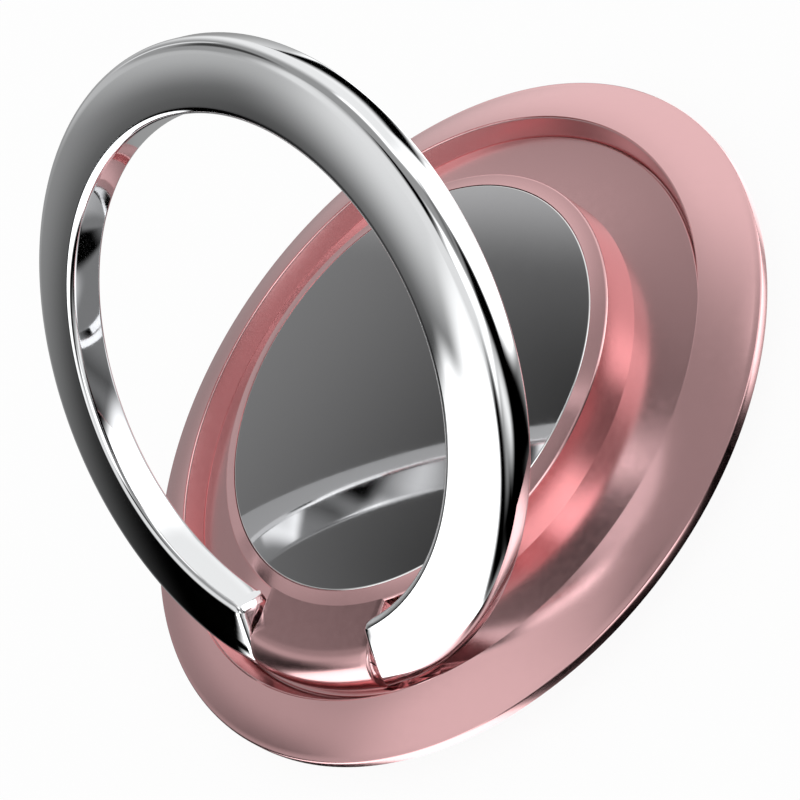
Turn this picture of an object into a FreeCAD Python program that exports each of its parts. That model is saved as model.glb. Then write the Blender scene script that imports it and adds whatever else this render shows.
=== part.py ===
import FreeCAD, Part
import math
import os

# Phone ring holder: a round base stuck to a phone, a hub that turns in it, and a finger ring on the hub.
# The frame is in millimetres. Z is the axis of the base, the adhesive face is at z = 0, and the hinge
# of the finger ring points to -Y. Every height below is measured up from the piece it stands on.

# Base: adhesive pad, cover and flange
base_radius = 20.00          # outer edge of the flange, half of its 40 mm width
pad_thickness = 0.30
pad_margin = 0.45            # how far the pad stops short of the flange's foot
cover_thickness = 0.25
foot_inset = 1.20            # from the outer edge in to the flange's foot
edge_undercut = 1.03         # from the foot up to the side band
edge_band = 0.52             # height of the side band
edge_chamfer = 0.12
flange_width = 2.95          # from the outer edge in to the groove
flange_rise = 1.00           # from the side band's top up to the inner edge
flange_crown = 0.06          # how far the sloped face bulges
inner_edge_round = 0.10
wall_lean = 0.49             # how far the groove's outer wall leans in on its way down to the seam
flange_wall_hollow = 0.06    # how far the groove's outer wall is hollowed
recess_lip = 0.22            # wall left outside the cover
ledge_overlap = 0.84         # how far the flange's recess reaches out past the seam
seam_rise = 0.13             # from the recess's ceiling up to the seam

# Running clearances and seats
hub_clearance = 0.06         # radial, hub in the flange
floor_gap = 0.05             # hub's skirt over the cover
seat_gap = 0.02              # radial, around pieces that are dropped in
bush_clearance = 0.04        # radial, rivet in its bush
pin_clearance = 0.02         # radial, hinge pin in its bush

# Hub: skirt, wall, rim and deck
lip_thickness = 0.75
lip_edge_gap = 0.10
skirt_inset = 0.10           # how far the skirt's underside stops short of the seam
damping_thickness = 0.15
spring_room = 0.20           # height left for the wave washer
spring_gauge = 0.08
spring_waves = 4
points_per_wave = 6
groove_width = 4.33          # between the flange's inner edge and the rim
crease_rise = 0.20           # of the groove's floor, from the seam in to the crease
wall_flare = 0.20            # how far the hub's wall spreads from the rim down to the crease
rim_rise = 2.12              # from the crease up to the rim
rim_slope = 0.02
rim_round = 0.12
rim_width = 0.84             # from the rim's outer side in to the plate
hub_wall = 1.32              # from the rim's outer side in to the hollow underneath
deck_thickness = 0.65
rib_count = 6
rib_thickness = 0.70
rib_rise = 0.75              # from the skirt's underside up to the ribs
pocket_clearance = 0.08      # round the swing of the ring's ends
pocket_reach = 2.70          # how far the pocket runs past each end of the ring
pocket_end_radius = 1.00

# Steel plate
plate_thickness = 0.50
plate_bevel = 0.08
plate_stand = 0.15           # how far the plate stands above the rim's edge
glue_thickness = 0.05
glue_margin = 0.60

# Pivot in the middle
rivet_radius = 1.50
rivet_neck_inset = 0.20
rivet_head_overhang = 1.25
rivet_head_height = 0.42
bush_wall = 0.80
boss_wall = 1.90
rivet_flare = 0.12
pivot_washer_thickness = 0.10

# Screws in the cover
screw_count = 4
screw_radius = 0.40
screw_head_radius = 0.52
screw_head_height = 0.12
screw_length = 1.20
screw_slot_width = 0.16
screw_slot_depth = 0.07

# Tongue and hinge
pin_drop = 1.27              # hinge axis below the rim
pin_inset = 1.315            # from the ring's inner side out to the hinge axis
roll_radius = 1.45           # of the tongue's rolled end
tongue_half = 4.35           # half width at its end
tongue_waist = 0.33          # how far each side draws in at the rim
tongue_tip_gap = 0.10        # tip of the tongue short of the ring's outer side
tongue_flare_start = 0.23    # from the rim out to where the sides begin to spread
tongue_flare_bulge = 0.11
tongue_corner = 1.05         # rounding of the tip in plan
tongue_undercut = 0.65       # from the tip in to the tongue's foot
tongue_foot_drop = 1.69      # from the roll's centre down to the tongue's foot
tongue_foot_bulge = 0.16     # of the arc from the foot up to the roll
tongue_edge_round = 0.15
pin_radius = 0.50
pin_in_tongue = 2.30
pin_in_ring = 1.20
hinge_bush_wall = 0.30
hinge_washer_radius = 1.05
hinge_washer_room = 0.20     # between the tongue and each end of the ring
washer_play = 0.02

# Finger ring
ring_inner_play = 0.28       # folded ring round the rim
ring_outer_play = 0.55       # folded ring inside the flange
ring_back_drop = 0.77        # back face below the hinge axis when folded
ring_front_outer_rise = 0.92
ring_front_inner_rise = 1.30
ring_crown = 0.07
ring_front_round = 0.38
ring_back_round = 0.24
ring_end_chamfer = 0.42
open_angle = 45.0            # how far the ring stands open at rest

# Radii that follow from the base's edge inwards
foot_radius = base_radius - foot_inset
pad_radius = foot_radius - pad_margin
cover_edge = foot_radius - recess_lip
cover_radius = cover_edge - seat_gap
flange_inner_radius = base_radius - flange_width
seam_radius = flange_inner_radius - wall_lean
recess_radius = seam_radius + ledge_overlap
screw_circle_radius = (recess_radius + cover_edge) / 2
lip_radius = recess_radius - lip_edge_gap
hub_seam_radius = seam_radius - hub_clearance
skirt_edge_radius = hub_seam_radius - skirt_inset
rim_radius = flange_inner_radius - groove_width
crease_radius = rim_radius + wall_flare
plate_radius = rim_radius - rim_width
hub_bore_radius = rim_radius - hub_wall
rivet_neck_radius = rivet_radius - rivet_neck_inset
rivet_head_radius = rivet_radius + rivet_head_overhang
bush_outer_radius = rivet_radius + bush_wall
boss_radius = bush_outer_radius + boss_wall

# Ring, tongue and hinge in plan
ring_inner_radius = rim_radius + ring_inner_play
ring_outer_radius = flange_inner_radius - ring_outer_play
ring_end_half = tongue_half + hinge_washer_room
pin_distance = ring_inner_radius + pin_inset
tongue_reach = ring_outer_radius - tongue_tip_gap
tongue_foot_radius = tongue_reach - tongue_undercut
tongue_root_radius = (plate_radius + rim_radius) / 2
tongue_root_half = tongue_half - tongue_waist
flare_start_radius = rim_radius + tongue_flare_start
flare_end_radius = (ring_inner_radius + ring_outer_radius) / 2
hinge_bush_radius = pin_radius + pin_clearance + hinge_bush_wall

# Heights that follow from the stack
cover_bottom = pad_thickness
cover_top = cover_bottom + cover_thickness
band_low = cover_bottom + edge_undercut
band_top = band_low + edge_band
flange_top = band_top + flange_rise
lip_bottom = cover_top + spring_room
lip_top = lip_bottom + lip_thickness
recess_ceiling = lip_top + damping_thickness
seam_height = recess_ceiling + seam_rise
skirt_bottom = cover_top + floor_gap
crease_height = seam_height + crease_rise
rim_height = crease_height + rim_rise
plate_top = rim_height + rim_slope + plate_stand
plate_bottom = plate_top - plate_thickness
deck_top = plate_bottom - glue_thickness
deck_bottom = deck_top - deck_thickness
rib_bottom = skirt_bottom + rib_rise
pin_height = rim_height - pin_drop
roll_height = rim_height - roll_radius
foot_height = roll_height - tongue_foot_drop
bore_margin = 1.0            # how far cutting tools run past what they cut

UP = FreeCAD.Vector(0, 0, 1)
ACROSS = FreeCAD.Vector(1, 0, 0)
ORIGIN = FreeCAD.Vector(0, 0, 0)
HINGE = FreeCAD.Vector(0, -pin_distance, pin_height)


def closed_edges(points, place):
    """Edges of a closed outline. A point of four numbers is an arc through its first two."""
    edges = []
    here = points[0]
    for point in points[1:] + [points[0]]:
        end = point[-2:]
        if len(point) == 4:
            edges.append(Part.Arc(place(*here), place(*point[:2]), place(*end)).toShape())
        else:
            edges.append(Part.LineSegment(place(*here), place(*end)).toShape())
        here = end
    return edges


def turned(points):
    """A solid turned about Z from an outline of radius and height."""
    edges = closed_edges(points, lambda radius, height: FreeCAD.Vector(radius, 0, height))
    return Part.Face(Part.Wire(edges)).revolve(ORIGIN, UP, 360)


def raised(points, low, high):
    """A solid raised from an outline in plan."""
    edges = closed_edges(points, lambda x, y: FreeCAD.Vector(x, y, low))
    return Part.Face(Part.Wire(edges)).extrude(UP * (high - low))


def disc(radius, low, high):
    return Part.makeCylinder(radius, high - low, FreeCAD.Vector(0, 0, low))


def washer(outer, inner, low, high):
    return disc(outer, low, high).cut(disc(inner, low - bore_margin, high + bore_margin))


def cross_bar(radius, start, end):
    """A round bar along X on the hinge axis, from one distance to another."""
    base = FreeCAD.Vector(min(start, end), HINGE.y, HINGE.z)
    return Part.makeCylinder(radius, abs(end - start), base, ACROSS)


def around(solid, count):
    """Like solids set evenly round the axis."""
    copies = []
    for index in range(count):
        copy = solid.copy()
        copy.rotate(ORIGIN, UP, (index + 0.5) * 360 / count)
        copies.append(copy)
    return copies


def arc_point(start, end, bulge):
    """The middle of an arc from start to end that bulges to the left by that much."""
    run = (end[0] - start[0], end[1] - start[1])
    length = math.hypot(*run)
    middle = ((start[0] + end[0]) / 2, (start[1] + end[1]) / 2)
    return (middle[0] - run[1] / length * bulge, middle[1] + run[0] / length * bulge)


def adhesive_pad():
    """Foam tape that holds the base to the phone."""
    return disc(pad_radius, 0, pad_thickness)


def screw_tool():
    """The space of one screw in the cover and the flange."""
    tip = cover_bottom + screw_length
    shank = disc(screw_radius, cover_bottom, tip)
    face = FreeCAD.Vector(0, 0, cover_bottom)
    head = Part.makeCone(screw_head_radius, screw_radius, screw_head_height, face)
    tool = shank.fuse(head).removeSplitter()
    tool.translate(ACROSS * screw_circle_radius)
    return tool


def cover_screws():
    """Countersunk screws that hold the cover under the flange, one solid each."""
    screw = screw_tool()
    slot = Part.makeBox(
        2 * screw_head_radius, screw_slot_width, screw_slot_depth,
        FreeCAD.Vector(screw_circle_radius - screw_head_radius, -screw_slot_width / 2, cover_bottom),
    )
    return Part.makeCompound(around(screw.cut(slot), screw_count))


def base_flange():
    """The fixed outer ring: a sloped face, the groove's outer wall and the recess for the hub's lip."""
    edge_top = (base_radius - edge_chamfer, band_top)
    inner_top = (flange_inner_radius + inner_edge_round, flange_top)
    inner_side = (flange_inner_radius, flange_top - inner_edge_round)
    seam = (seam_radius, recess_ceiling)
    profile = [
        (foot_radius, cover_bottom),
        (base_radius, band_low),
        (base_radius, band_top - edge_chamfer),
        edge_top,
        arc_point(inner_top, edge_top, flange_crown) + inner_top,
        arc_point(inner_side, inner_top, inner_edge_round * (1 - math.sqrt(0.5))) + inner_side,
        arc_point(seam, inner_side, -flange_wall_hollow) + seam,
        (recess_radius, recess_ceiling),
        (recess_radius, cover_top),
        (cover_edge, cover_top),
        (cover_edge, cover_bottom),
    ]
    flange = turned(profile)
    return flange.cut(around(screw_tool(), screw_count))


def base_cover():
    """The steel disc that closes the base from below and carries the pivot rivet."""
    cover = disc(cover_radius, cover_bottom, cover_top)
    cover = cover.cut(around(screw_tool(), screw_count))
    return cover.cut(rivet_tail())


def rivet_tail():
    """The rivet's neck in the cover, with its flared end."""
    neck = disc(rivet_neck_radius, cover_bottom, cover_top)
    face = FreeCAD.Vector(0, 0, cover_bottom)
    flare = Part.makeCone(rivet_neck_radius + rivet_flare, rivet_neck_radius, rivet_flare, face)
    return neck.fuse(flare).removeSplitter()


def head_seat():
    """Height of the step in the hub that the rivet's washer lies on."""
    return deck_top - seat_gap - rivet_head_height - pivot_washer_thickness


def pivot_rivet():
    """The shouldered rivet that the hub turns on."""
    head_low = head_seat() + pivot_washer_thickness
    shoulder = disc(rivet_radius, cover_top, head_low)
    head = disc(rivet_head_radius, head_low, head_low + rivet_head_height)
    head = head.makeChamfer(rivet_flare, [edge for edge in head.Edges if edge.BoundBox.ZMin > head_low])
    return rivet_tail().fuse([shoulder, head]).removeSplitter()


def pivot_bush():
    """The plastic bush in the hub's boss."""
    return washer(bush_outer_radius - seat_gap, rivet_radius + bush_clearance, skirt_bottom, head_seat())


def pivot_washer():
    """The plastic washer under the rivet's head."""
    low = head_seat()
    return washer(rivet_head_radius, rivet_radius + bush_clearance, low, low + pivot_washer_thickness)


def damping_ring():
    """The greased plastic ring between the hub's lip and the flange."""
    return washer(recess_radius - seat_gap, seam_radius + seat_gap, lip_top, recess_ceiling)


def wave_washer():
    """The wavy spring ring that pushes the hub's lip up against the damping ring."""
    outer = lip_radius - seat_gap
    inner = skirt_edge_radius + seat_gap
    swing = (spring_room - spring_gauge) / 2 - seat_gap / 2
    middle = (cover_top + lip_bottom) / 2
    steps = points_per_wave * spring_waves

    def wave(radius, offset):
        points = []
        for index in range(steps):
            angle = 2 * math.pi * index / steps
            height = middle + offset + swing * math.cos(spring_waves * angle)
            points.append(FreeCAD.Vector(radius * math.cos(angle), radius * math.sin(angle), height))
        curve = Part.BSplineCurve()
        curve.interpolate(Points=points, PeriodicFlag=True)
        return curve.toShape()

    corners = [(inner, -1), (outer, -1), (outer, 1), (inner, 1)]
    rails = [wave(radius, side * spring_gauge / 2) for radius, side in corners]
    faces = [Part.makeRuledSurface(rails[index], rails[(index + 1) % 4]) for index in range(4)]
    solid = Part.Solid(Part.Shell(faces))
    if solid.Volume < 0:
        solid.reverse()
    return solid


def groove_profile():
    """The hub's skirt, wall and rim in section, with the hollow under the deck."""
    half_depth = math.sqrt(0.5)
    wall_top = (rim_radius, rim_height - rim_round)
    rim_edge = (rim_radius - rim_round, rim_height)
    plate_edge = plate_radius + seat_gap
    return [
        (hub_bore_radius, skirt_bottom),
        (skirt_edge_radius, skirt_bottom),
        (skirt_edge_radius, lip_bottom),
        (lip_radius, lip_bottom),
        (lip_radius, lip_top),
        (hub_seam_radius, lip_top),
        (hub_seam_radius, seam_height),
        (crease_radius, crease_height),
        wall_top,
        arc_point(rim_edge, wall_top, rim_round * (1 - half_depth)) + rim_edge,
        (plate_edge, rim_height + rim_slope),
        (plate_edge, deck_top),
        (0, deck_top),
        (0, deck_bottom),
        (hub_bore_radius, deck_bottom),
    ]


def mirrored(point):
    return (-point[0], point[1])


def tongue():
    """The tongue that bridges the groove and rolls over the hinge, with rounded top edges."""
    roll_centre = tongue_reach - roll_radius
    roll_side = roll_radius * math.sqrt(0.5)
    section = turned([
        (tongue_root_radius, skirt_bottom),
        (tongue_foot_radius, skirt_bottom),
        (tongue_foot_radius, foot_height),
        arc_point((tongue_foot_radius, foot_height), (tongue_reach, roll_height), -tongue_foot_bulge)
        + (tongue_reach, roll_height),
        (roll_centre + roll_side, roll_height + roll_side, roll_centre, rim_height),
        (tongue_root_radius, rim_height),
    ])
    corner_y = -(tongue_reach - tongue_corner)
    tip_x = tongue_half - tongue_corner
    tip_y = -math.sqrt(tongue_reach ** 2 - tip_x ** 2)
    root = (-tongue_root_half, -hub_bore_radius)
    flare_low = (-tongue_root_half, -flare_start_radius)
    flare_high = (-tongue_half, -flare_end_radius)
    flare = arc_point(flare_low, flare_high, -tongue_flare_bulge)
    corner = (-tip_x - tongue_corner * math.sqrt(0.5), corner_y - tongue_corner * math.sqrt(0.5))
    plan = [
        root,
        flare_low,
        flare + flare_high,
        (-tongue_half, corner_y),
        corner + (-tip_x, tip_y),
        (0, -tongue_reach - seat_gap, tip_x, tip_y),
        mirrored(corner) + (tongue_half, corner_y),
        mirrored(flare_high),
        mirrored(flare) + mirrored(flare_low),
        mirrored(root),
    ]
    solid = section.common(raised(plan, skirt_bottom, rim_height + bore_margin))
    top = solid.BoundBox.ZMax
    side_edges = [
        edge for edge in solid.Edges
        if edge.BoundBox.ZMin > top - seat_gap and abs(edge.CenterOfMass.x) > tongue_root_half - seat_gap
    ]
    return solid.makeFillet(tongue_edge_round, side_edges)


def hinge_pocket():
    """The space in the groove's floor that the ends of the ring swing through."""
    outer = math.sqrt(ring_outer_radius ** 2 - ring_end_half ** 2) - pin_distance
    swing = math.hypot(outer, ring_back_drop) + pocket_clearance
    tapers = []
    for side in (-1, 1):
        start = FreeCAD.Vector(side * ring_end_half, HINGE.y, HINGE.z)
        tapers.append(Part.makeCone(swing, pocket_end_radius, pocket_reach, start, ACROSS * side))
    return cross_bar(swing, -ring_end_half, ring_end_half).fuse(tapers)


def rotor_hub():
    """The turning hub: groove skirt, rim, deck, boss and ribs, with the tongue and its bores."""
    hub = turned(groove_profile()).cut(hinge_pocket())
    boss = disc(boss_radius, skirt_bottom, deck_bottom + deck_thickness / 2)
    rib = Part.makeBox(
        hub_bore_radius, rib_thickness, deck_bottom + deck_thickness / 2 - rib_bottom,
        FreeCAD.Vector(0, -rib_thickness / 2, rib_bottom),
    )
    hub = hub.fuse([boss, tongue()] + around(rib, rib_count)).removeSplitter()
    bores = [
        disc(bush_outer_radius, skirt_bottom - bore_margin, deck_top + bore_margin),
        disc(rivet_head_radius + hub_clearance, head_seat(), deck_top + bore_margin),
    ]
    for side in (-1, 1):
        depth = side * (tongue_half - pin_in_tongue - bore_margin)
        bores.append(cross_bar(hinge_bush_radius + seat_gap, depth, side * (tongue_half + bore_margin)))
    return hub.cut(bores)


def steel_plate():
    """The polished steel disc in the hub's rim."""
    plate = disc(plate_radius, plate_bottom, plate_top)
    top_edges = [edge for edge in plate.Edges if edge.BoundBox.ZMin > plate_bottom]
    return plate.makeChamfer(plate_bevel, top_edges)


def plate_glue():
    """The thin adhesive disc under the steel plate."""
    return disc(plate_radius - glue_margin, deck_top, plate_bottom)


def finger_ring():
    """The split ring: one turned section, cut at the hinge and rounded on every edge, then opened."""
    back = pin_height - ring_back_drop
    front_outer = (ring_outer_radius, pin_height + ring_front_outer_rise)
    front_inner = (ring_inner_radius, pin_height + ring_front_inner_rise)
    band_low_point = (ring_outer_radius, back)
    ring = turned([
        (ring_inner_radius, back),
        band_low_point,
        front_outer,
        arc_point(front_inner, front_outer, ring_crown) + front_inner,
    ])
    gap = Part.makeBox(
        2 * ring_end_half, ring_outer_radius, 2 * pin_height,
        FreeCAD.Vector(-ring_end_half, -ring_outer_radius - bore_margin, 0),
    )
    ring = ring.cut(gap)
    inner_corners = [
        edge for edge in ring.Edges
        if edge.BoundBox.ZLength > ring_back_drop and abs(edge.Vertexes[0].X) < ring_end_half + seat_gap
        and math.hypot(edge.Vertexes[0].X, edge.Vertexes[0].Y) < ring_inner_radius + seat_gap
    ]
    ring = ring.makeChamfer(ring_end_chamfer, inner_corners)
    front = pin_height + ring_front_outer_rise / 2
    front_edges = [edge for edge in ring.Edges if edge.BoundBox.ZMin > front]
    ring = ring.makeFillet(ring_front_round, front_edges)
    back_edges = [edge for edge in ring.Edges if edge.BoundBox.ZMax < back + seat_gap]
    ring = ring.makeFillet(ring_back_round, back_edges)
    for side in (-1, 1):
        start = side * (ring_end_half - bore_margin)
        ring = ring.cut(cross_bar(pin_radius, start, side * (ring_end_half + pin_in_ring)))
    return opened(ring)


def opened(solid):
    """A solid modelled with the ring folded, turned with it to the resting angle."""
    solid = solid.copy()
    solid.rotate(HINGE, ACROSS, open_angle)
    return solid


def hinge_pin(side):
    """A stub pin pressed into one end of the ring, its other end in the tongue."""
    pin = cross_bar(pin_radius, side * (tongue_half - pin_in_tongue), side * (ring_end_half + pin_in_ring))
    return opened(pin)


def hinge_bush(side):
    """The friction bush in one side of the tongue."""
    inner_end = side * (tongue_half - pin_in_tongue - bore_margin)
    outer_end = side * tongue_half
    sleeve = cross_bar(hinge_bush_radius, inner_end, outer_end)
    bore_end = side * (tongue_half - pin_in_tongue - pin_clearance)
    return sleeve.cut(cross_bar(pin_radius + pin_clearance, bore_end, side * (tongue_half + bore_margin)))


def hinge_washer(side):
    """The thin washer between the tongue and one end of the ring."""
    inner_end = side * (tongue_half + washer_play)
    outer_end = side * (ring_end_half - washer_play)
    plain = cross_bar(hinge_washer_radius, inner_end, outer_end)
    return plain.cut(cross_bar(pin_radius + pin_clearance, 0, outer_end + side * bore_margin))


parts = {
    "adhesive_pad": adhesive_pad(),
    "base_cover": base_cover(),
    "cover_screws": cover_screws(),
    "base_flange": base_flange(),
    "wave_washer": wave_washer(),
    "damping_ring": damping_ring(),
    "pivot_rivet": pivot_rivet(),
    "pivot_washer": pivot_washer(),
    "pivot_bush": pivot_bush(),
    "rotor_hub": rotor_hub(),
    "plate_glue": plate_glue(),
    "steel_plate": steel_plate(),
    "finger_ring": finger_ring(),
}
for hand, side in (("left", -1), ("right", 1)):
    parts["hinge_pin_" + hand] = hinge_pin(side)
    parts["hinge_bush_" + hand] = hinge_bush(side)
    parts["hinge_washer_" + hand] = hinge_washer(side)

os.makedirs("parts", exist_ok=True)
for name, shape in parts.items():
    shape.exportStep("parts/" + name + ".step")
    print(name, "solids", len(shape.Solids), "valid", shape.isValid(), "volume", round(shape.Volume, 3))
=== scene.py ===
import math

import bpy
import numpy as np
from mathutils import Matrix, Vector


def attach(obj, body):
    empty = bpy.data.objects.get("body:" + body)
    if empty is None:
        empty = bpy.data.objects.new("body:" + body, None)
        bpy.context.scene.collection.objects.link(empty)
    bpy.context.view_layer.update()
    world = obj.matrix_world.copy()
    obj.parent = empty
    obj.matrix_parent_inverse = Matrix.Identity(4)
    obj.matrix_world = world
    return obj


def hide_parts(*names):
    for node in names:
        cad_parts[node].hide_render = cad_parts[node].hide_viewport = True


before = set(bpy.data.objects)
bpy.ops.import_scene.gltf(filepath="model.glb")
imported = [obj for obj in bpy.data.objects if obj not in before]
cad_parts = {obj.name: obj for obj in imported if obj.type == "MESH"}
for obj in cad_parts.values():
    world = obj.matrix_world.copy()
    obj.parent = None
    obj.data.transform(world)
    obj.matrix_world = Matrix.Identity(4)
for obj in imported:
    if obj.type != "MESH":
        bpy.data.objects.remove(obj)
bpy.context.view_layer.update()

# Adhesive pad: a round of white foam tape, die-cut a little smaller than the base, which sticks the
# holder to the phone. It is a thin disc with a soft cut edge, and its foam shows fine open cells.
MM = 0.001
PAD_RADIUS = 18.35
PAD_THICKNESS = 0.30
PAD_EDGE_ROUND = 0.05


def deselect_all():
    """Operators act on all that is selected, so each piece starts with nothing selected."""
    bpy.ops.object.select_all(action="DESELECT")


def finish_piece(piece, name, body, material, slot, *nodes):
    """Names the piece, gives it its material, and puts it in the place of CAD nodes."""
    piece.name = name
    piece.data.name = name
    piece.data.materials.clear()
    piece.data.materials.append(material)
    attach(piece, body)
    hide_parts(*nodes)


def apply_modifiers(piece):
    """Applies every modifier of the active piece, in their order."""
    for modifier in list(piece.modifiers):
        bpy.ops.object.modifier_apply(modifier=modifier.name)


def node_material(name, colour, metallic, roughness):
    """A Principled material with its node tree and shader, to which each finish adds its detail."""
    material = bpy.data.materials.new(name)
    material.use_nodes = True
    shader = material.node_tree.nodes["Principled BSDF"]
    shader.inputs["Base Color"].default_value = (*colour, 1)
    shader.inputs["Metallic"].default_value = metallic
    shader.inputs["Roughness"].default_value = roughness
    return material, material.node_tree, shader


def grain(tree, shader, scale, height, roughness_low, roughness_high):
    """Fine noise on object coordinates that raises the surface a little and varies its roughness."""
    place = tree.nodes.new("ShaderNodeTexCoord")
    noise = tree.nodes.new("ShaderNodeTexNoise")
    noise.inputs["Scale"].default_value = scale
    noise.inputs["Detail"].default_value = 4
    spread = tree.nodes.new("ShaderNodeMapRange")
    spread.inputs["From Min"].default_value = 0.3
    spread.inputs["From Max"].default_value = 0.7
    spread.inputs["To Min"].default_value = roughness_low
    spread.inputs["To Max"].default_value = roughness_high
    bump = tree.nodes.new("ShaderNodeBump")
    bump.inputs["Distance"].default_value = height
    bump.inputs["Strength"].default_value = 1.0
    tree.links.new(place.outputs["Object"], noise.inputs["Vector"])
    tree.links.new(noise.outputs["Fac"], spread.inputs["Value"])
    tree.links.new(spread.outputs["Result"], shader.inputs["Roughness"])
    tree.links.new(noise.outputs["Fac"], bump.inputs["Height"])
    tree.links.new(bump.outputs["Normal"], shader.inputs["Normal"])


foam, foam_tree, foam_shader = node_material("white foam tape", (0.80, 0.80, 0.79), 0.0, 0.85)
grain(foam_tree, foam_shader, 9000, 0.02 * MM, 0.75, 0.95)

deselect_all()
bpy.ops.mesh.primitive_cylinder_add(
    vertices=192, radius=PAD_RADIUS * MM, depth=PAD_THICKNESS * MM,
    location=(0, 0, PAD_THICKNESS / 2 * MM))
pad = bpy.context.object
bpy.ops.object.transform_apply(location=True, rotation=True, scale=True)
pad_edge = pad.modifiers.new("cut edge", "BEVEL")
pad_edge.width = PAD_EDGE_ROUND * MM
pad_edge.segments = 2
apply_modifiers(pad)
bpy.ops.object.shade_smooth_by_angle(angle=math.radians(50))
finish_piece(pad, "foam_pad", "base", foam, "adhesive", "adhesive_pad")

# Base flange: the fixed outer ring of the base, a zinc casting turned and plated in rose gold. Its
# top slopes up to a rounded inner edge, and its inner wall is the outer side of the groove.
BASE_RADIUS = 20.00
FOOT_RADIUS = 18.80
BAND_LOW = 1.33
BAND_TOP = 1.85
EDGE_ROUND = 0.12
FLANGE_TOP = 2.85
FLANGE_INNER_RADIUS = 17.05
INNER_EDGE_ROUND = 0.10
SEAM_RADIUS = 16.56
RECESS_RADIUS = 17.40
RECESS_CEILING = 1.65
COVER_SEAT_RADIUS = 18.58
COVER_SEAT_HEIGHT = 0.55
SMOOTH_BELOW = math.radians(32)
AROUND = 256


def arc(start, through, end, steps):
    """Points on the circle through three points, without its first point."""
    (ax, ay), (bx, by), (cx, cy) = start, through, end
    d = 2 * (ax * (by - cy) + bx * (cy - ay) + cx * (ay - by))
    a2, b2, c2 = ax * ax + ay * ay, bx * bx + by * by, cx * cx + cy * cy
    ux = (a2 * (by - cy) + b2 * (cy - ay) + c2 * (ay - by)) / d
    uy = (a2 * (cx - bx) + b2 * (ax - cx) + c2 * (bx - ax)) / d
    first, middle, last = (math.atan2(y - uy, x - ux) for x, y in (start, through, end))
    turn = (last - first) % (2 * math.pi)
    if (middle - first) % (2 * math.pi) > turn:
        turn -= 2 * math.pi
    radius = math.hypot(ax - ux, ay - uy)
    angles = [first + turn * step / steps for step in range(1, steps + 1)]
    return [(ux + radius * math.cos(angle), uy + radius * math.sin(angle)) for angle in angles]


def bulged(start, end, bulge, steps):
    """Points on an arc that bulges to the left of the line from start to end by that much."""
    run = (end[0] - start[0], end[1] - start[1])
    length = math.hypot(*run)
    through = (
        (start[0] + end[0]) / 2 - run[1] / length * bulge,
        (start[1] + end[1]) / 2 + run[0] / length * bulge,
    )
    return arc(start, through, end, steps)


def turned(outline, steps, start_angle=0.0, sweep=2 * math.pi):
    """A circle's points are put on a section of radius and height, which is spun about Z."""
    deselect_all()
    bpy.ops.mesh.primitive_circle_add(vertices=len(outline), fill_type="NOTHING")
    piece = bpy.context.object
    for vertex, (radius, height) in zip(piece.data.vertices, outline):
        vertex.co = (
            radius * math.cos(start_angle) * MM, radius * math.sin(start_angle) * MM, height * MM)
    bpy.ops.object.mode_set(mode="EDIT")
    bpy.ops.mesh.select_all(action="SELECT")
    bpy.ops.mesh.spin(steps=steps, angle=sweep, center=(0, 0, 0), axis=(0, 0, -1))
    bpy.ops.mesh.select_all(action="SELECT")
    bpy.ops.mesh.remove_doubles(threshold=1e-7)
    bpy.ops.mesh.normals_make_consistent(inside=False)
    bpy.ops.object.mode_set(mode="OBJECT")
    return piece


def weigh_normals(piece):
    """Large faces keep their own shading next to small rounded edges."""
    bpy.ops.object.shade_smooth_by_angle(angle=SMOOTH_BELOW)
    weighted = piece.modifiers.new("weighted normals", "WEIGHTED_NORMAL")
    weighted.mode = "FACE_AREA"
    weighted.keep_sharp = True
    apply_modifiers(piece)


rose, rose_tree, rose_shader = node_material("rose gold plating", (0.87, 0.52, 0.53), 1.0, 0.20)
grain(rose_tree, rose_shader, 2500, 0.0002 * MM, 0.18, 0.22)

edge_side = (BASE_RADIUS, BAND_TOP - EDGE_ROUND)
edge_top = (BASE_RADIUS - EDGE_ROUND, BAND_TOP)
inner_top = (FLANGE_INNER_RADIUS + INNER_EDGE_ROUND, FLANGE_TOP)
inner_side = (FLANGE_INNER_RADIUS, FLANGE_TOP - INNER_EDGE_ROUND)
flange_outline = [
    (FOOT_RADIUS, PAD_THICKNESS), (BASE_RADIUS, BAND_LOW), edge_side,
    *bulged(edge_side, edge_top, -0.03, 5),
    *bulged(edge_top, inner_top, -0.06, 12),
    *bulged(inner_top, inner_side, 0.03, 5),
    (SEAM_RADIUS, RECESS_CEILING), (RECESS_RADIUS, RECESS_CEILING),
    (RECESS_RADIUS, COVER_SEAT_HEIGHT), (COVER_SEAT_RADIUS, COVER_SEAT_HEIGHT),
    (COVER_SEAT_RADIUS, PAD_THICKNESS),
]
flange = turned(flange_outline, AROUND)
weigh_normals(flange)
finish_piece(flange, "flange_casting", "base", rose, "rose_gold", "base_flange")

# Turning hub: one zinc casting plated like the flange. A hollow skirt fills the groove, rises at a
# crease to a straight wall, and ends in a narrow rim that holds the steel disc.
HUB_SEAM_RADIUS = 16.50
SEAM_HEIGHT = 1.78
CREASE = (12.92, 1.98)
RIM_RADIUS = 12.72
RIM_HEIGHT = 4.06
RIM_ROUND = 0.12
RIM_INNER_HEIGHT = 4.26
SEAM_EDGE_ROUND = 0.07
DISC_SEAT_RADIUS = 11.90
DECK_TOP = 3.72
DECK_BOTTOM = 3.07
SKIRT_BOTTOM = 0.60
SKIRT_INNER_RADIUS = 11.40
SKIRT_FOOT_RADIUS = 16.40
LIP_RADIUS = 17.30
LIP_BOTTOM = 0.75
LIP_TOP = 1.50
BOSS_RADIUS = 4.20
BUSH_BORE_RADIUS = 2.30
RIVET_SINK_RADIUS = 2.81
RIVET_SINK_BOTTOM = 3.18
PIN_DISTANCE = 14.315
PIN_HEIGHT = 2.83
POCKET_HALF = 4.55
POCKET_END = 7.25
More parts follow.
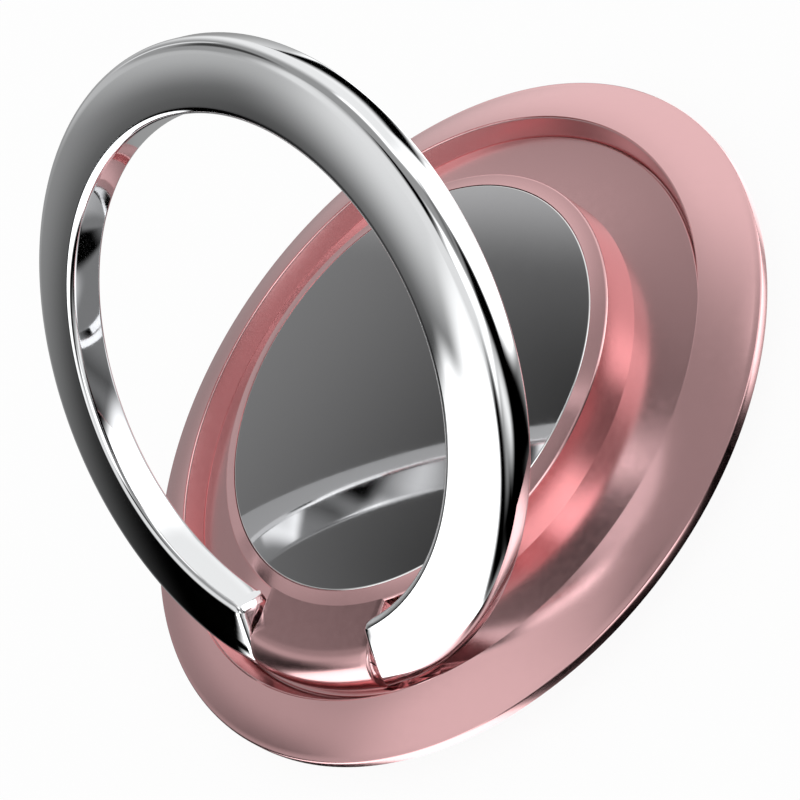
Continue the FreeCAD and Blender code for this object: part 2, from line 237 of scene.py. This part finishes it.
POCKET_RADIUS = 1.80
POCKET_END_RADIUS = 1.00

seam_side = (HUB_SEAM_RADIUS, SEAM_HEIGHT - SEAM_EDGE_ROUND)
seam_top = (HUB_SEAM_RADIUS - SEAM_EDGE_ROUND, SEAM_HEIGHT)
wall_top = (RIM_RADIUS, RIM_HEIGHT - RIM_ROUND)
rim_edge = (RIM_RADIUS - RIM_ROUND, RIM_HEIGHT)
hub_outline = [
    (BUSH_BORE_RADIUS, SKIRT_BOTTOM), (BOSS_RADIUS, SKIRT_BOTTOM), (BOSS_RADIUS, DECK_BOTTOM),
    (SKIRT_INNER_RADIUS, DECK_BOTTOM), (SKIRT_INNER_RADIUS, SKIRT_BOTTOM),
    (SKIRT_FOOT_RADIUS, SKIRT_BOTTOM), (SKIRT_FOOT_RADIUS, LIP_BOTTOM), (LIP_RADIUS, LIP_BOTTOM),
    (LIP_RADIUS, LIP_TOP), (HUB_SEAM_RADIUS, LIP_TOP), seam_side,
    *bulged(seam_side, seam_top, -0.02, 4),
    CREASE, wall_top,
    *bulged(wall_top, rim_edge, -0.035, 5),
    (DISC_SEAT_RADIUS, RIM_INNER_HEIGHT), (DISC_SEAT_RADIUS, DECK_TOP),
    (RIVET_SINK_RADIUS, DECK_TOP), (RIVET_SINK_RADIUS, RIVET_SINK_BOTTOM),
    (BUSH_BORE_RADIUS, RIVET_SINK_BOTTOM),
]
hub = turned(hub_outline, AROUND)

hinge = Vector((0, -PIN_DISTANCE, PIN_HEIGHT)) * MM
pocket_outline = [
    (0, -POCKET_END), (POCKET_END_RADIUS, -POCKET_END), (POCKET_RADIUS, -POCKET_HALF),
    (POCKET_RADIUS, POCKET_HALF), (POCKET_END_RADIUS, POCKET_END), (0, POCKET_END),
]
pocket = turned(pocket_outline, 96)
pocket.data.transform(Matrix.Translation(hinge) @ Matrix.Rotation(math.pi / 2, 4, "Y"))
deselect_all()
bpy.context.view_layer.objects.active = hub
hub.select_set(True)
pocket_cut = hub.modifiers.new("hinge pocket", "BOOLEAN")
pocket_cut.operation = "DIFFERENCE"
pocket_cut.solver = "EXACT"
pocket_cut.object = pocket
apply_modifiers(hub)
bpy.data.objects.remove(pocket, do_unlink=True)

# Tongue: part of the same casting. It bridges the groove at the rim's height, flares out to the
# hinge, rolls over the pins and reaches down to the skirt, with softly rounded side edges.
TONGUE_ROOT_RADIUS = 12.30
TONGUE_REACH = 16.40
TONGUE_ROLL = 1.45
ROLL_HEIGHT = RIM_HEIGHT - TONGUE_ROLL
TONGUE_FOOT = (15.75, 0.96)
TONGUE_EDGE_ROUND = 0.16
TONGUE_ROOT_HALF = 4.24
TONGUE_HALF = 4.40

tongue_side = [(TONGUE_ROOT_HALF, 11.0), (TONGUE_ROOT_HALF, 12.95)]
tongue_side += bulged(tongue_side[-1], (TONGUE_HALF, 14.75), 0.08, 10) + [(TONGUE_HALF, 15.35)]
tongue_side += arc(tongue_side[-1], (4.08, 16.0925), (3.30, 16.0646), 10)
side_radii = [math.hypot(*point) for point in tongue_side]
side_halves = [point[0] for point in tongue_side]
roll_centre = TONGUE_REACH - TONGUE_ROLL
foot_line = [TONGUE_FOOT] + bulged(TONGUE_FOOT, (TONGUE_REACH, ROLL_HEIGHT), -0.16, 12)
foot_radii = [point[0] for point in foot_line]
foot_heights = [point[1] for point in foot_line]

stations = []
for radius in np.linspace(TONGUE_ROOT_RADIUS, roll_centre, 24, endpoint=False):
    stations.append((radius, RIM_HEIGHT, (0, 1), SKIRT_BOTTOM, (0, -1)))
for angle in np.linspace(0, math.pi / 2, 28):
    radius = roll_centre + TONGUE_ROLL * math.sin(angle)
    height = ROLL_HEIGHT + TONGUE_ROLL * math.cos(angle)
    if radius < TONGUE_FOOT[0]:
        low, down = SKIRT_BOTTOM, (0, -1)
    else:
        low, down = float(np.interp(radius, foot_radii, foot_heights)), (0.93, -0.36)
    stations.append((radius, height, (math.sin(angle), math.cos(angle)), low, down))

across = list(np.linspace(-1, 1, 25))
edge_turns = [math.radians(turn) for turn in (0, 22.5, 45, 67.5)]


def tongue_row(radius, height, normal, half):
    """Points across the tongue at one radius, with both side edges rounded inwards."""
    row = []
    for side, turns in ((-1, edge_turns), (1, edge_turns[::-1])):
        if side == 1:
            flat = half - TONGUE_EDGE_ROUND
            row += [(flat * share, radius, height) for share in across]
        for turn in turns:
            sink = TONGUE_EDGE_ROUND * (1 - math.sin(turn))
            x = side * (half - TONGUE_EDGE_ROUND * (1 - math.cos(turn)))
            row.append((x, radius - sink * normal[0], height - sink * normal[1]))
    return [(x * MM, -math.sqrt(r * r - x * x) * MM, z * MM) for x, r, z in row]


station_points = []
for radius, height, up, low, down in stations:
    half = float(np.interp(radius, side_radii, side_halves))
    top = tongue_row(radius, height, up, half)
    bottom = tongue_row(radius, low, down, half)
    station_points.append(top + bottom[::-1])

deselect_all()
bpy.ops.mesh.primitive_circle_add(vertices=len(station_points[0]), fill_type="NGON")
tongue = bpy.context.object
for vertex, point in zip(tongue.data.vertices, station_points[0]):
    vertex.co = point
for points in station_points[1:]:
    bpy.ops.object.mode_set(mode="EDIT")
    bpy.ops.mesh.extrude_region_move()
    bpy.ops.object.mode_set(mode="OBJECT")
    moved = [vertex for vertex in tongue.data.vertices if vertex.select]
    for vertex, point in zip(moved, points):
        vertex.co = point
bpy.ops.object.mode_set(mode="EDIT")
bpy.ops.mesh.select_all(action="SELECT")
bpy.ops.mesh.remove_doubles(threshold=1e-6)
bpy.ops.mesh.normals_make_consistent(inside=False)
bpy.ops.object.mode_set(mode="OBJECT")

hub.select_set(True)
tongue.select_set(True)
bpy.context.view_layer.objects.active = hub
bpy.ops.object.join()
weigh_normals(hub)
finish_piece(hub, "hub_casting", "hub", rose, "rose_gold", "rotor_hub")

# Steel disc: a steel round let into the hub's rim, where a magnetic holder grips it. Its face is
# polished to a mirror and stands a little proud, with a fine bevel round its edge, and that edge is
# painted near white as a painted highlight line.
DISC_RADIUS = 11.88
DISC_BOTTOM = 3.77
DISC_TOP = 4.27
DISC_BEVEL = 0.10
# Outside this radius the steel's colour is raised to near white: a painted highlight round the disc's
# edge, not a different metal.
PAINTED_HIGHLIGHT_RADIUS = 11.79
POLISHED_COLOUR = (0.60, 0.60, 0.61)
PAINTED_HIGHLIGHT_COLOUR = (0.95, 0.95, 0.95)

mirror, mirror_tree, mirror_shader = node_material("mirror steel", POLISHED_COLOUR, 1.0, 0.05)
grain(mirror_tree, mirror_shader, 1500, 0.0001 * MM, 0.03, 0.05)
disc_place = mirror_tree.nodes.new("ShaderNodeTexCoord")
disc_split = mirror_tree.nodes.new("ShaderNodeSeparateXYZ")
disc_flat = mirror_tree.nodes.new("ShaderNodeCombineXYZ")
disc_reach = mirror_tree.nodes.new("ShaderNodeVectorMath")
disc_reach.operation = "LENGTH"
# Painted highlight: past the radius the base colour mixes to near white, so the edge shows a bright
# line under any light.
painted_highlight_edge = mirror_tree.nodes.new("ShaderNodeMath")
painted_highlight_edge.operation = "GREATER_THAN"
painted_highlight_edge.inputs[1].default_value = PAINTED_HIGHLIGHT_RADIUS * MM
disc_colour = mirror_tree.nodes.new("ShaderNodeMix")
disc_colour.data_type = "RGBA"
disc_colour.inputs["A"].default_value = (*POLISHED_COLOUR, 1)
disc_colour.inputs["B"].default_value = (*PAINTED_HIGHLIGHT_COLOUR, 1)
mirror_tree.links.new(disc_place.outputs["Object"], disc_split.inputs["Vector"])
mirror_tree.links.new(disc_split.outputs["X"], disc_flat.inputs["X"])
mirror_tree.links.new(disc_split.outputs["Y"], disc_flat.inputs["Y"])
mirror_tree.links.new(disc_flat.outputs["Vector"], disc_reach.inputs[0])
mirror_tree.links.new(disc_reach.outputs["Value"], painted_highlight_edge.inputs[0])
mirror_tree.links.new(painted_highlight_edge.outputs["Value"], disc_colour.inputs["Factor"])
mirror_tree.links.new(disc_colour.outputs["Result"], mirror_shader.inputs["Base Color"])

deselect_all()
bpy.ops.mesh.primitive_cylinder_add(
    vertices=AROUND, radius=DISC_RADIUS * MM, depth=(DISC_TOP - DISC_BOTTOM) * MM,
    location=(0, 0, (DISC_TOP + DISC_BOTTOM) / 2 * MM))
disc = bpy.context.object
bpy.ops.object.transform_apply(location=True, rotation=True, scale=True)
disc_edge = disc.modifiers.new("bevel", "BEVEL")
disc_edge.width = DISC_BEVEL * MM
disc_edge.segments = 3
apply_modifiers(disc)
weigh_normals(disc)
finish_piece(disc, "mirror_disc", "hub", mirror, "mirror_steel", "steel_plate")

# Finger ring: a zinc casting with mirror chrome plating, split at the hinge. Its flat front slopes
# in a little to the finger hole and every edge is rounded, most of all round the front.
RING_INNER = 13.00
RING_OUTER = 16.50
RING_BACK = PIN_HEIGHT - 0.77
RING_FRONT_OUTER = PIN_HEIGHT + 0.92
RING_FRONT_INNER = PIN_HEIGHT + 1.30
RING_CROWN = 0.05
RING_END_HALF = 4.47
RING_END_STEP = 0.80
RING_END_CHAMFER = 0.30
RING_FRONT_ROUND = 0.40
RING_BACK_ROUND = 0.24
RING_OPEN = math.radians(45)
RING_END_TURN = math.asin((RING_END_HALF + RING_END_STEP) / RING_INNER)

chrome, chrome_tree, chrome_shader = node_material("mirror chrome", (0.90, 0.91, 0.92), 1.0, 0.04)
grain(chrome_tree, chrome_shader, 1200, 0.0001 * MM, 0.03, 0.05)

front_inner = (RING_INNER, RING_FRONT_INNER)
outer_round_side = (RING_OUTER, RING_FRONT_OUTER - 0.72)
outer_round_top = (RING_OUTER - 0.716, RING_FRONT_OUTER + 0.078)
ring_outline = [
    (RING_INNER, RING_BACK), (RING_OUTER, RING_BACK), outer_round_side,
    *bulged(outer_round_side, outer_round_top, -0.205, 10),
    *bulged(outer_round_top, front_inner, -RING_CROWN, 8),
]
ring = turned(ring_outline, 220, -math.pi / 2 + RING_END_TURN, 2 * math.pi - 2 * RING_END_TURN)
bpy.ops.object.mode_set(mode="EDIT")
for side in (1, -1):
    bpy.ops.mesh.select_all(action="DESELECT")
    bpy.ops.object.mode_set(mode="OBJECT")
    start = Vector((math.sin(RING_END_TURN) * side, -math.cos(RING_END_TURN), 0))
    for vertex in ring.data.vertices:
        flat = Vector((vertex.co.x, vertex.co.y, 0))
        vertex.select = (flat.normalized() - start).length < 1e-4
    bpy.ops.object.mode_set(mode="EDIT")
    bpy.ops.mesh.select_mode(type="VERT")
    bpy.ops.mesh.extrude_region_move()
    bpy.ops.object.mode_set(mode="OBJECT")
    for vertex in ring.data.vertices:
        if vertex.select:
            radius = math.hypot(vertex.co.x, vertex.co.y)
            vertex.co.x = side * RING_END_HALF * MM
            vertex.co.y = -math.sqrt(radius ** 2 - vertex.co.x ** 2)
    bpy.ops.object.mode_set(mode="EDIT")
    bpy.ops.mesh.edge_face_add()
bpy.ops.mesh.select_all(action="SELECT")
bpy.ops.mesh.normals_make_consistent(inside=False)
bpy.ops.object.mode_set(mode="OBJECT")


def select_edges(piece, wanted):
    """Leaves edit mode's selection on the edges for which wanted(start, end) is true."""
    bpy.ops.object.mode_set(mode="EDIT")
    bpy.ops.mesh.select_mode(type="EDGE")
    bpy.ops.mesh.select_all(action="DESELECT")
    bpy.ops.object.mode_set(mode="OBJECT")
    vertices = piece.data.vertices
    for edge in piece.data.edges:
        edge.select = wanted(*(vertices[index].co / MM for index in edge.vertices))
    bpy.ops.object.mode_set(mode="EDIT")


def on_end(point):
    """Whether a point lies on one of the ring's two flat ends."""
    return abs(abs(point.x) - RING_END_HALF) < 1e-3 and point.y < 0


def at_radius(point, radius):
    """Whether a point lies at that distance from the ring's axis."""
    return abs(math.hypot(point.x, point.y) - radius) < 2e-3


def inner_corner(start, end):
    """Whether an edge is the corner between a flat end and the finger hole's wall."""
    return all(on_end(point) and at_radius(point, RING_INNER) for point in (start, end))


select_edges(ring, inner_corner)
bpy.ops.mesh.bevel(offset=RING_END_CHAMFER * MM, offset_type="OFFSET", segments=1, affect="EDGES")
bpy.ops.object.mode_set(mode="OBJECT")


def sharp_at(piece, low, high):
    """Selects the sharp edges whose both ends lie between two heights."""
    bpy.ops.object.mode_set(mode="EDIT")
    bpy.ops.mesh.select_mode(type="EDGE")
    bpy.ops.mesh.select_all(action="DESELECT")
    bpy.ops.mesh.edges_select_sharp(sharpness=math.radians(25))
    bpy.ops.object.mode_set(mode="OBJECT")
    vertices = piece.data.vertices
    for edge in piece.data.edges:
        inside = all(low < vertices[index].co.z / MM < high for index in edge.vertices)
        edge.select = edge.select and inside
    bpy.ops.object.mode_set(mode="EDIT")


sharp_at(ring, RING_FRONT_OUTER - 0.75, RING_FRONT_INNER + 0.2)
bpy.ops.mesh.bevel(offset=RING_FRONT_ROUND * MM, offset_type="OFFSET", segments=7, affect="EDGES")
bpy.ops.object.mode_set(mode="OBJECT")
sharp_at(ring, RING_BACK - 0.05, RING_BACK + 0.05)
bpy.ops.mesh.bevel(offset=RING_BACK_ROUND * MM, offset_type="OFFSET", segments=5, affect="EDGES")
bpy.ops.object.mode_set(mode="OBJECT")

ring.data.transform(
    Matrix.Translation(hinge) @ Matrix.Rotation(RING_OPEN, 4, "X") @ Matrix.Translation(-hinge))
weigh_normals(ring)
finish_piece(ring, "split_ring", "ring", chrome, "chrome_ring", "finger_ring")

# Hinge pins, their bushes and the pieces sealed inside the base keep their CAD shapes. Each gets
# the finish of its own material: plated steel, sintered bronze, nylon and glue film.
steel, steel_tree, steel_shader = node_material("plated steel", (0.60, 0.60, 0.61), 1.0, 0.3)
grain(steel_tree, steel_shader, 3000, 0.0006 * MM, 0.22, 0.38)
bronze, bronze_tree, bronze_shader = node_material("sintered bronze", (0.62, 0.42, 0.22), 1.0, 0.45)
grain(bronze_tree, bronze_shader, 8000, 0.002 * MM, 0.35, 0.55)
nylon, nylon_tree, nylon_shader = node_material("white nylon", (0.78, 0.77, 0.73), 0.0, 0.5)
grain(nylon_tree, nylon_shader, 4000, 0.001 * MM, 0.42, 0.58)
film, film_tree, film_shader = node_material("clear glue film", (0.75, 0.75, 0.72), 0.0, 0.6)
grain(film_tree, film_shader, 5000, 0.001 * MM, 0.5, 0.7)
kept_finishes = {
    steel: [
        "base_cover", "cover_screws", "wave_washer", "pivot_rivet", "hinge_pin_left", "hinge_pin_right",
    ],
    bronze: ["hinge_bush_left", "hinge_bush_right"],
    nylon: ["damping_ring", "pivot_washer", "pivot_bush"],
    film: ["plate_glue"],
}
for finish, nodes in kept_finishes.items():
    for node in nodes:
        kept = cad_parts[node]
        kept.data.materials.clear()
        kept.data.materials.append(finish)

# Hinge washers: two thin nylon rings, punched from sheet, on the hinge pins. They keep the ends of
# the chrome ring off the sides of the tongue.
WASHER_RADIUS = 0.80
WASHER_BORE = 0.52
WASHER_INNER = 4.41
WASHER_OUTER = 4.46

for hand, side in (("left", -1), ("right", 1)):
    washer_outline = [
        (WASHER_BORE, WASHER_INNER), (WASHER_RADIUS, WASHER_INNER),
        (WASHER_RADIUS, WASHER_OUTER), (WASHER_BORE, WASHER_OUTER),
    ]
    washer = turned(washer_outline, 48)
    washer.data.transform(Matrix.Translation(hinge) @ Matrix.Rotation(side * math.pi / 2, 4, "Y"))
    bpy.ops.object.shade_smooth_by_angle(angle=SMOOTH_BELOW)
    finish_piece(
        washer, "nylon_washer_" + hand, "hub", nylon, "bearing_plastic", "hinge_washer_" + hand)

# Floor: a plain pale sheet that runs out of every view. The camera sees it as white with a faint
# soft shadow. Glossy rays pass through it, so that polished metal shows the lower half of the room.
FLOOR_SIZE = 3.0
FLOOR_WHITE = 0.93
floor_finish = bpy.data.materials.new("pale floor")
floor_finish.use_nodes = True
floor_tree = floor_finish.node_tree
floor_shader = floor_tree.nodes["Principled BSDF"]
floor_shader.inputs["Base Color"].default_value = (0.80, 0.80, 0.80, 1)
floor_shader.inputs["Roughness"].default_value = 0.9
floor_glow = floor_tree.nodes.new("ShaderNodeEmission")
floor_glow.inputs["Color"].default_value = (1, 1, 1, 1)
floor_clear = floor_tree.nodes.new("ShaderNodeBsdfTransparent")
floor_rays = floor_tree.nodes.new("ShaderNodeLightPath")
floor_share = floor_tree.nodes.new("ShaderNodeMath")
floor_share.operation = "MULTIPLY"
floor_share.inputs[1].default_value = FLOOR_WHITE
floor_seen = floor_tree.nodes.new("ShaderNodeMixShader")
floor_choice = floor_tree.nodes.new("ShaderNodeMixShader")
floor_output = floor_tree.nodes["Material Output"]
floor_tree.links.new(floor_rays.outputs["Is Camera Ray"], floor_share.inputs[0])
floor_tree.links.new(floor_share.outputs["Value"], floor_seen.inputs["Fac"])
floor_tree.links.new(floor_shader.outputs["BSDF"], floor_seen.inputs[1])
floor_tree.links.new(floor_glow.outputs["Emission"], floor_seen.inputs[2])
floor_tree.links.new(floor_rays.outputs["Is Glossy Ray"], floor_choice.inputs["Fac"])
floor_tree.links.new(floor_seen.outputs["Shader"], floor_choice.inputs[1])
floor_tree.links.new(floor_clear.outputs["BSDF"], floor_choice.inputs[2])
floor_tree.links.new(floor_choice.outputs["Shader"], floor_output.inputs["Surface"])
deselect_all()
bpy.ops.mesh.primitive_plane_add(size=FLOOR_SIZE, location=(0, 0, 0))
floor = bpy.context.object
floor.name = "floor"
floor.data.materials.append(floor_finish)

# Studio: what polished metal shows around the piece, a grey room with soft boxes and black cards on
# stands. Each stands over the ones before it: its middle, half width, middle height and half height
# in degrees, its tilt, the softness of its edge in degrees, and how bright it is.
STUDIO_WALL = 0.32
STUDIO_CARDS = (
    (-135, 30, -10, 47, 0.2, 15, 0),
    (105, 20, -36, 42, -0.3, 3, 1.55),
    (-21, 40, -48, 35, -0.3, 15, 0),
    (52, 23, 8, 48, 0.1, 5, 2),
    (92, 41, 23, 28, -0.6, 14, 0.9),
    (-34, 22, 37, 19, -0.1, 9, 2),
    (-24, 11, -7, 20, -0.3, 13, 1),
    (-116, 23, 2, 24, 0.4, 2, 1.9),
    (-102, 25, -5, 45, 0.1, 3, 2),
    (-111, 52, 55, 26, -1.2, 15, 0.8),
    (-69, 13, -7, 41, -0.1, 9, 0),
    (13, 17, -23, 44, -0.1, 6, 0),
    (21, 20, 32, 4, -0.6, 9, 0.1),
    (95, 21, -3, 4, 1.2, 2, 0),
    (155, 4, 25, 16, -0.8, 2, 0.8),
    (-39, 21, 70, 13, 0.7, 6, 0),
    (-177, 12, 26, 20, 1.2, 7, 0.5),
    (154, 10, 52, 14, -0.2, 6, 0.05),
)
studio = bpy.data.worlds.new("studio")
bpy.context.scene.world = studio
studio.use_nodes = True
studio_tree = studio.node_tree


def studio_math(operation, *inputs):
    """A Math node on outputs or numbers."""
    node = studio_tree.nodes.new("ShaderNodeMath")
    node.operation = operation
    for socket, value in zip(node.inputs, inputs):
        if isinstance(value, (int, float)):
            socket.default_value = value
        else:
            studio_tree.links.new(value, socket)
    return node.outputs["Value"]


def card_edge(distance, half_size, softness):
    """1 inside a card and 0 outside it, with a soft step between."""
    edge = studio_tree.nodes.new("ShaderNodeMapRange")
    edge.interpolation_type = "SMOOTHSTEP"
    edge.inputs["From Min"].default_value = half_size - softness
    edge.inputs["From Max"].default_value = half_size + softness
    edge.inputs["To Min"].default_value = 1
    edge.inputs["To Max"].default_value = 0
    studio_tree.links.new(distance, edge.inputs["Value"])
    return edge.outputs["Result"]


direction = studio_tree.nodes.new("ShaderNodeTexCoord").outputs["Generated"]
along = studio_tree.nodes.new("ShaderNodeSeparateXYZ")
studio_tree.links.new(direction, along.inputs["Vector"])
bearing = studio_math("ARCTAN2", along.outputs["Y"], along.outputs["X"])
bearing = studio_math("MULTIPLY", bearing, 180 / math.pi)
rise = studio_math("MULTIPLY", studio_math("ARCSINE", along.outputs["Z"]), 180 / math.pi)
brightness = studio_math("ADD", STUDIO_WALL, 0)
for middle, half_width, height, half_height, tilt, softness, card_brightness in STUDIO_CARDS:
    lean = studio_math("MULTIPLY_ADD", rise, -tilt, tilt * height - middle)
    across = studio_math("WRAP", studio_math("ADD", bearing, lean), 180, -180)
    across = studio_math("ABSOLUTE", across)
    above = studio_math("ABSOLUTE", studio_math("SUBTRACT", rise, height))
    shape = studio_math(
        "MULTIPLY", card_edge(across, half_width, softness), card_edge(above, half_height, softness))
    card = studio_tree.nodes.new("ShaderNodeMix")
    card.inputs["B"].default_value = card_brightness
    studio_tree.links.new(shape, card.inputs["Factor"])
    studio_tree.links.new(brightness, card.inputs["A"])
    brightness = card.outputs["Result"]
room = studio_tree.nodes["Background"]
room.inputs["Color"].default_value = (1, 1, 1, 1)
studio_tree.links.new(brightness, room.inputs["Strength"])
backdrop = studio_tree.nodes.new("ShaderNodeBackground")
backdrop.inputs["Color"].default_value = (1, 1, 1, 1)
studio_rays = studio_tree.nodes.new("ShaderNodeLightPath")
studio_mix = studio_tree.nodes.new("ShaderNodeMixShader")
studio_tree.links.new(studio_rays.outputs["Is Glossy Ray"], studio_mix.inputs["Fac"])
studio_tree.links.new(backdrop.outputs["Background"], studio_mix.inputs[1])
studio_tree.links.new(room.outputs["Background"], studio_mix.inputs[2])
studio_tree.links.new(studio_mix.outputs["Shader"], studio_tree.nodes["World Output"].inputs["Surface"])

# Camera: where the photograph was taken from, with its angle of view, and rolled so that the ring
# stands up on the picture. The colours are shown as they are written.
camera_data = bpy.data.cameras.new("camera")
camera_data.sensor_width = 36
camera_data.lens = 90.39
camera_data.clip_start = 0.005
camera_data.clip_end = 10
camera = bpy.data.objects.new("camera", camera_data)
bpy.context.scene.collection.objects.link(camera)
camera.matrix_world = Matrix((
    (0.70033, -0.00554, 0.713797, 0.074534),
    (0.331999, 0.887758, -0.318845, -0.034262),
    (-0.631913, 0.460277, 0.623563, 0.069026),
    (0, 0, 0, 1),
))
bpy.context.scene.camera = camera
bpy.context.scene.view_settings.view_transform = "Standard"
